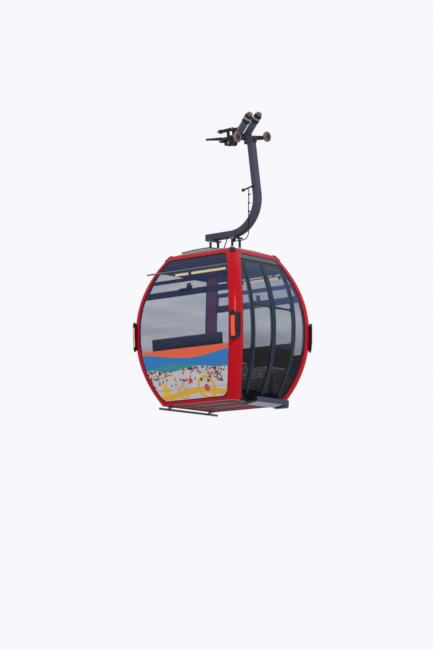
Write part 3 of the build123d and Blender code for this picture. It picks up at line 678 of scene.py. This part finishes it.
bm = bmesh.new()
sheet(bm, onTray, 0, 1, tray["thick"], 1, 1)
place("stepTray", bm, "trayMetal", "cabin", toCabin)
bm = bmesh.new()
for index in range(tread["ribs"]):
    y = tread["first"] - index * tread["pitch"]
    start, stop = ((x, y, tread["level"]) for x in tread["x"])
    drum(bm, start, stop, tread["radius"], sides=8)
slab(bm, *tread["block"])
soften(bm, 0.002)
place("stepRibs", bm, "seal", "cabin", toCabin)
print("stage: underside and step")

# roof: a dark lid that follows the crown over the pale box, whose pale side is a painted highlight, and a screw in each
# corner cap
lid = {"x": (0.158, 0.442), "y": (-0.452, 0.112), "crown": 2.362, "radius": 4.752, "over": 0.033, "thick": 0.012}
cap = {"turn": 45, "level": 2.232, "out": 0.01, "washer": (0.024, 0.02), "sunk": 0.004, "proud": 0.005,
       "head": 0.011, "headProud": 0.009}


def onCrown(share, y):
    x = lid["x"][0] + (lid["x"][1] - lid["x"][0]) * share
    top = lid["crown"] - lid["radius"] + math.sqrt((lid["radius"] + lid["over"]) ** 2 - x * x - y * y)
    return Vector((x, y, top))


bm, screws = bmesh.new(), bmesh.new()
sheet(bm, onCrown, *lid["y"], lid["thick"], 16, 8)
soften(bm, 0.004)
place("roofLid", bm, "roofLid", "cabin", toCabin)
for xSign in (-1, 1):
    for ySign in (-1, 1):
        spot = onCorner(xSign, ySign, cap["turn"], cap["level"], cap["out"])
        away = outward(xSign, ySign, cap["turn"])
        drum(screws, spot - away * cap["sunk"], spot + away * cap["proud"], *cap["washer"], 24)
        drum(screws, spot, spot + away * cap["headProud"], cap["head"], sides=6)
place("capScrews", screws, "darkSteel", "cabin", toCabin)
print("stage: roof")

# hanger: beads along the plates, a cover with a plug at the beam's end, and the struts' nuts, buffers and bolts
beam = {"level": -1.49, "half": 0.053, "end": -0.375, "bead": 0.006, "plug": 0.03, "plugSpan": (-0.0075, 0.004),
        "cover": 0.05, "coverSpan": (-0.004, 0.002)}
struts = {"centre": -0.02, "spreadX": 0.088, "spreadY": 0.218, "pad": 0.04, "plateLow": -1.559, "foot": -1.736,
          "nut": 0.03, "nutSpan": (-0.018, -0.0005), "buffer": (0.033, 0.028), "bufferTop": 0.026, "lockNut": 0.026,
          "lockTop": 0.042}
plateBolt = {"x": 0.022, "y": 0.028, "lift": 0.016, "size": 0.007}
bm, nuts, buffers = bmesh.new(), bmesh.new(), bmesh.new()
plate, foot = struts["plateLow"], struts["foot"]
for ySign in (-1, 1):
    y = struts["centre"] + ySign * struts["spreadY"]
    for xSign in (-1, 1):
        x = xSign * struts["spreadX"]
        low, high = (plate + lift for lift in struts["nutSpan"])
        drum(nuts, (x, y, low), (x, y, high), struts["nut"], sides=6)
        drum(buffers, (x, y, foot), (x, y, foot + struts["bufferTop"]), *struts["buffer"], 28)
        drum(nuts, (x, y, foot + struts["bufferTop"]), (x, y, foot + struts["lockTop"]), struts["lockNut"], sides=6)
        for shift in (-plateBolt["y"], plateBolt["y"]):
            bolt(nuts, (x + xSign * plateBolt["x"], y + shift, plate + plateBolt["lift"]), (0, 0, 1), plateBolt["size"])
    for shift in (-struts["pad"], struts["pad"]):
        start, stop = ((x, y + shift, beam["level"] - beam["half"]) for x in (-beam["half"], beam["half"]))
        drum(bm, start, stop, beam["bead"], sides=10)
cover, end, level = beam["cover"], beam["end"], beam["level"]
start, stop = ((0, end + shift, level) for shift in beam["plugSpan"])
drum(bm, start, stop, beam["plug"], sides=32)
slab(bm, (-cover, end + beam["coverSpan"][0], level - cover), (cover, end + beam["coverSpan"][1], level + cover))
place("hangerWelds", bm, "hangerPaint", "cabin")
place("strutNuts", nuts, "brightSteel", "cabin")
place("strutBuffers", buffers, "seal", "cabin")

# pin cover with its bolts, which stays with the grip
pin = {"face": 0.585, "z": -0.075, "profile": [(0, 0), (0, 0.03), (0.003, 0.033), (0.008, 0.03), (0.009, 0)],
       "bolts": 3, "ring": 0.02, "first": 0.5, "boltLift": 0.008, "bolt": 0.005}
bm = bmesh.new()
turned(bm, pin["profile"], (0, pin["face"], pin["z"]), (0, 1, 0), 32)
for index in range(pin["bolts"]):
    turn = math.tau * index / pin["bolts"] + pin["first"]
    bolt(bm, (pin["ring"] * math.cos(turn), pin["face"] + pin["boltLift"], pin["z"] + pin["ring"] * math.sin(turn)),
         (0, 1, 0), pin["bolt"])
place("pinCover", bm, "darkSteel", "grip")
print("stage: hanger")

# clips that hold the control cable to the arm's front
clips = {"x": 0.06, "levels": (-0.93, -1.06, -1.19), "y": (0.503, 0.497), "half": 0.009, "ring": (0.0074, 0.011),
         "tab": (0.0525, 0.056), "tabLength": 0.034, "boltY": 0.024, "bolt": 0.0045}
bm = bmesh.new()
half, (inner, outer) = clips["half"], clips["ring"]
for level in clips["levels"]:
    share = (level - clips["levels"][0]) / (clips["levels"][-1] - clips["levels"][0])
    y = clips["y"][0] + (clips["y"][1] - clips["y"][0]) * share
    turned(bm, [(-half, inner), (-half, outer), (half, outer), (half, inner)], (clips["x"], y, level), (0, 0, 1), 20)
    slab(bm, (clips["tab"][0], y, level - half), (clips["tab"][1], y + clips["tabLength"], level + half))
    bolt(bm, (clips["tab"][1], y + clips["boltY"], level), (1, 0, 0), clips["bolt"])
place("cableClips", bm, "darkSteel", "cabin")

# running wheels: a rounded tyre on a stepped rim, with five bolts
wheel = {"x": 0.36, "y": 0.525, "z": -0.03, "half": 0.024, "radius": 0.08, "rim": 0.056, "bore": 0.0151,
         "bolts": 5, "ring": 0.044, "boltSunk": 0.011, "bolt": 0.0045}
half, radius, rim, bore = (wheel[key] for key in ("half", "radius", "rim", "bore"))
tyreProfile = [(-half + 0.004, rim), (-half, rim + 0.004), (-half, radius - 0.012), (-half + 0.009, radius - 0.002),
               (-0.006, radius), (0.006, radius), (half - 0.009, radius - 0.002), (half, radius - 0.012),
               (half, rim + 0.004), (half - 0.004, rim), (-half + 0.004, rim)]
rimProfile = [(-half + 0.001, bore), (-half + 0.001, rim), (half - 0.007, rim), (half - 0.001, rim - 0.004),
              (half - 0.004, rim - 0.009), (half - 0.01, 0.04), (half - 0.008, 0.03), (half, 0.027), (half, bore)]
for xSign, end in ((1, "front"), (-1, "rear")):
    centre = toGrip @ Vector((xSign * wheel["x"], wheel["y"], wheel["z"]))
    tyre, hub, bolts = bmesh.new(), bmesh.new(), bmesh.new()
    turned(tyre, tyreProfile, centre, (0, 1, 0), 56)
    turned(hub, rimProfile, centre, (0, 1, 0), 56)
    for index in range(wheel["bolts"]):
        turn = math.tau * index / wheel["bolts"]
        ring = wheel["ring"]
        spot = centre + Vector((ring * math.cos(turn), half - wheel["boltSunk"], ring * math.sin(turn)))
        bolt(bolts, spot, (0, 1, 0), wheel["bolt"])
    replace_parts(place("tyre_" + end, tyre, "wheelRubber", "wheel_" + end), "running_wheel_" + end)
    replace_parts(place("rim_" + end, hub, "castSteel", "wheel_" + end), "running_wheel_" + end)
    place("rimBolts_" + end, bolts, "brightSteel", "wheel_" + end)
print("stage: wheels")

# spring units: a dark collar, a pale ring, a grey end disc and two tie rods on each tube
springs = {"x": 0.11, "y": 0.335, "z": 0.03, "angle": 44, "length": 0.281, "cap": 0.092, "stud": 0.0435,
           "collar": [(-0.03, 0.0563), (-0.028, 0.0625), (-0.004, 0.0625), (0.0, 0.0605)],
           "ring": [(0.026, 0.0601), (0.027, 0.0622), (0.056, 0.0622), (0.057, 0.0601)]}
rod = {"turns": (0.25, 2.9), "away": 0.059, "foot": 0.1, "head": 0.253, "radius": 0.0055}
slope = math.radians(springs["angle"])
along, crossways = Vector((0, math.cos(slope), math.sin(slope))), Vector((1, 0, 0))
face, tip = springs["cap"], springs["cap"] + springs["stud"]
discProfile = [(face + 0.004, 0.0402), (face + 0.006, 0.0455), (face + 0.03, 0.0455), (tip, 0.04), (tip, 0.0)]
collars, pale, discs = bmesh.new(), bmesh.new(), bmesh.new()
for xSign in (-1, 1):
    foot = Vector((xSign * springs["x"], springs["y"], springs["z"]))
    top = foot + along * springs["length"]
    for mesh, profile in ((collars, springs["collar"]), (pale, springs["ring"]), (discs, discProfile)):
        turned(mesh, profile, top, along, 40)
    for turn in rod["turns"]:
        side = crossways * math.cos(turn) + along.cross(crossways) * math.sin(turn)
        low = foot + side * rod["away"]
        drum(discs, low + along * rod["foot"], low + along * rod["head"], rod["radius"], sides=10)
place("springCollars", collars, "darkSteel", "grip", toGrip)
place("springRings", pale, "collarPale", "grip", toGrip)
place("springDiscs", discs, "dullSteel", "grip", toGrip)
print("stage: springs")

# grip: nuts on the jaw pin, body bolts and stiffening ribs
grip = {"pivotY": 0.116, "pivotZ": -0.058, "pin": 0.084, "nut": 0.018, "shell": 0.044}
shellBolt = {"x": 0.03, "y": (0.18, 0.25), "size": 0.009}
rib = {"x": 0.024, "half": 0.005, "y": (0.05, 0.17), "span": (-0.004, 0.014)}
bm, ribs = bmesh.new(), bmesh.new()
for xSign in (-1, 1):
    bolt(bm, (xSign * grip["pin"], grip["pivotY"], grip["pivotZ"]), (xSign, 0, 0), grip["nut"])
    for y in shellBolt["y"]:
        bolt(bm, (xSign * shellBolt["x"], y, grip["shell"]), (0, 0, 1), shellBolt["size"])
    x, (low, high) = xSign * rib["x"], (grip["shell"] + lift for lift in rib["span"])
    slab(ribs, (x - rib["half"], rib["y"][0], low), (x + rib["half"], rib["y"][1], high))
soften(ribs, 0.003)
place("gripBolts", bm, "brightSteel", "grip", toGrip)
place("gripRibs", ribs, "castSteel", "grip", toGrip)

# crowned roller at the lever's nose, and the nuts of the lever's two pins
roller = {"y": -0.08, "z": 0.142, "half": 0.03, "radius": 0.034, "bore": 0.0111, "shoulder": 0.02}
leverNuts = [
    # y, z and size
    (-0.08, 0.142, 0.01), (0.207, 0.148, 0.009),
]
leverHalf = 0.072
half, radius, bore, shoulder = (roller[key] for key in ("half", "radius", "bore", "shoulder"))
bm = bmesh.new()
turned(bm, [(-half, bore), (-half, shoulder), (-half + 0.002, radius - 0.006), (-half + 0.008, radius - 0.001),
            (0, radius), (half - 0.008, radius - 0.001), (half - 0.002, radius - 0.006), (half, shoulder),
            (half, bore)], (0, roller["y"], roller["z"]), (1, 0, 0), 40)
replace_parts(place("crownedRoller", bm, "rollerNylon", "lever_roller", toGrip), "lever_roller")
bm = bmesh.new()
for xSign in (-1, 1):
    for y, z, size in leverNuts:
        bolt(bm, (xSign * leverHalf, y, z), (xSign, 0, 0), size)
place("leverNuts", bm, "brightSteel", "jaw", toGrip)
print("stage: grip")

# pale floor, plain sky and a soft sun
stage = {"floor": -7.9, "half": 120, "pale": (0.8, 0.8, 0.86), "mottle": 1.05, "rough": 0.9, "lift": 0.3, "sky": 0.6,
         "skyColour": (0.93, 0.93, 0.97), "sun": 1.45, "sunSize": 0.35, "sunColour": (1.0, 0.95, 0.88),
         "sunAim": (-0.55, -0.72, -0.42)}
bm = bmesh.new()
bmesh.ops.create_grid(bm, x_segments=1, y_segments=1, size=stage["half"],
                      matrix=Matrix.Translation((0, 0, stage["floor"])))
ground = bpy.data.objects.new("ground", bpy.data.meshes.new("ground"))
bm.to_mesh(ground.data)
bm.free()
scene.collection.objects.link(ground)

# the floor is lifted towards white for the camera alone, and can't be seen from below
soil = Finish("groundPale")
seenDirect = soil.add("ShaderNodeLightPath", {}, {}, "Is Camera Ray")
mottled = soil.mix(soil.noise(*noises["soil"]), stage["pale"], shade(stage["pale"], stage["mottle"]))
soil.set(Base_Color=mottled, Roughness=stage["rough"], Emission_Strength=1,
         Emission_Color=soil.mix(seenDirect, (0, 0, 0), shade(stage["pale"], stage["lift"])))
clearAway = soil.add("ShaderNodeBsdfTransparent", {}, {})
below = soil.add("ShaderNodeNewGeometry", {}, {}, "Backfacing")
blend = soil.add("ShaderNodeMixShader", {}, {0: below, 1: Wire(soil, soil.shader.outputs[0]), 2: clearAway})
soil.feed(soil.tree.nodes["Material Output"].inputs["Surface"], blend)
ground.data.materials.append(soil.material)

# the sky is white where it is seen, mirrored or looked at through glass, and dimmer as a light
world = bpy.data.worlds.new("world")
scene.world = world
world.use_nodes = True
tree = world.node_tree
path = tree.nodes.new("ShaderNodeLightPath")
seen = path.outputs["Is Camera Ray"]
for ray in ("Is Glossy Ray", "Is Transmission Ray"):
    either = tree.nodes.new("ShaderNodeMath")
    either.operation = "MAXIMUM"
    tree.links.new(seen, either.inputs[0])
    tree.links.new(path.outputs[ray], either.inputs[1])
    seen = either.outputs[0]
strength = tree.nodes.new("ShaderNodeMapRange")
tree.links.new(seen, strength.inputs["Value"])
strength.inputs["To Min"].default_value = stage["sky"]
strength.inputs["To Max"].default_value = 1
sky = tree.nodes["Background"]
tree.links.new(strength.outputs[0], sky.inputs["Strength"])
sky.inputs["Color"].default_value = (*stage["skyColour"], 1)
sun = bpy.data.objects.new("sun", bpy.data.lights.new("sun", "SUN"))
sun.data.energy, sun.data.angle, sun.data.color = stage["sun"], stage["sunSize"], stage["sunColour"]
scene.collection.objects.link(sun)
sun.matrix_world = Vector(stage["sunAim"]).to_track_quat("-Z", "Y").to_matrix().to_4x4()
print("stage: floor and light")
